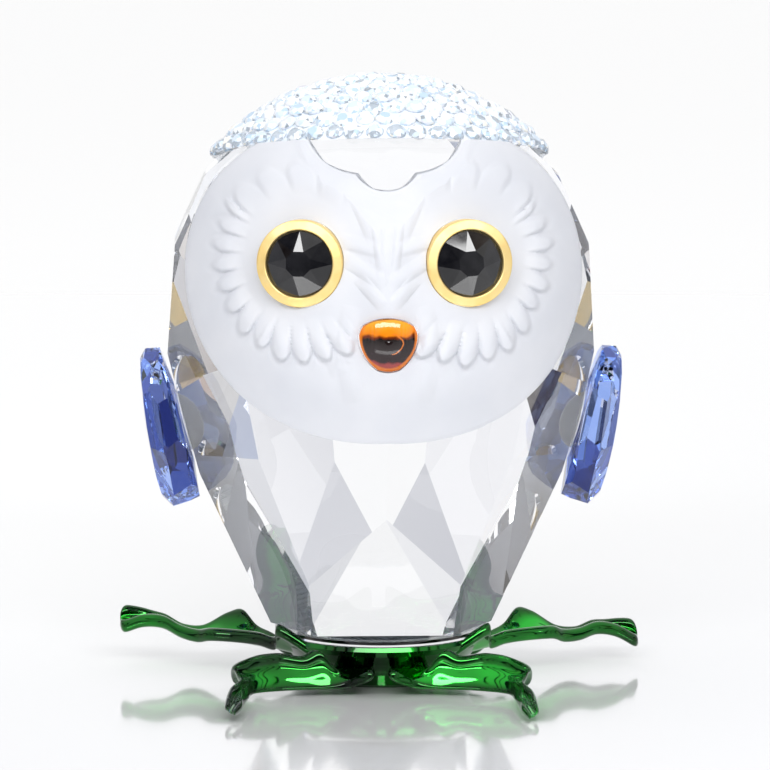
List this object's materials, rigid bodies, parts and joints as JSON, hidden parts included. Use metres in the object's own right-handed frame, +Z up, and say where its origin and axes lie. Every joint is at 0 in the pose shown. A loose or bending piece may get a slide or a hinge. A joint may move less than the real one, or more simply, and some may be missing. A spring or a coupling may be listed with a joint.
{
  "type": "crystal glass figurine",
  "caption": "Sitting owl chick figurine: faceted clear crystal body, frosted face, gilt-ringed black eyes, amber beak, blue wings, stone-set cap, green leaf base.",
  "frame": {"origin": "centre of the flat foot under the leaf base", "axes": "+Z up, the owl looks along -Y, +X to the viewer's right"},
  "size_m": [0.0438, 0.0438, 0.0505],
  "materials": {
    "clear_crystal": "optically clear lead-free crystal, flat polished facets",
    "gilded_metal": "polished gold plating",
    "jet_glass": "opaque black, polished facets",
    "amber_glass": "polished amber cabochon",
    "sapphire_crystal": "light blue, polished facets",
    "opal_stone": "white opal, polished facets",
    "clear_resin": "milky clear setting resin",
    "adhesive_film": "clear cured adhesive",
    "green_lacquer": "transparent green lacquer over polished metal"
  },
  "bodies": {
    "root": {"crystal_body": "clear_crystal", "eye_bezel_left": "gilded_metal", "eye_bezel_right": "gilded_metal", "eye_stone_left": "jet_glass", "eye_stone_right": "jet_glass", "eye_bond_left": "adhesive_film", "eye_bond_right": "adhesive_film", "beak": "amber_glass", "beak_bond": "adhesive_film", "wing_left": "sapphire_crystal", "wing_right": "sapphire_crystal", "wing_bond_left": "adhesive_film", "wing_bond_right": "adhesive_film", "cap_bed": "clear_resin", "pave_crown": "opal_stone", "pave_ring_1": "opal_stone", "pave_ring_2": "opal_stone", "pave_ring_3": "opal_stone", "pave_ring_4": "opal_stone", "pave_ring_5": "opal_stone", "pave_ring_6": "opal_stone", "pave_ring_7": "opal_stone", "pave_ring_8": "opal_stone", "pave_ring_9": "opal_stone", "base_bond": "adhesive_film", "leaf_hub": "green_lacquer", "leaf_front_left": "green_lacquer", "leaf_front_right": "green_lacquer", "leaf_side_left": "green_lacquer", "leaf_side_right": "green_lacquer", "leaf_back": "green_lacquer"}
  },
  "joints": []
}
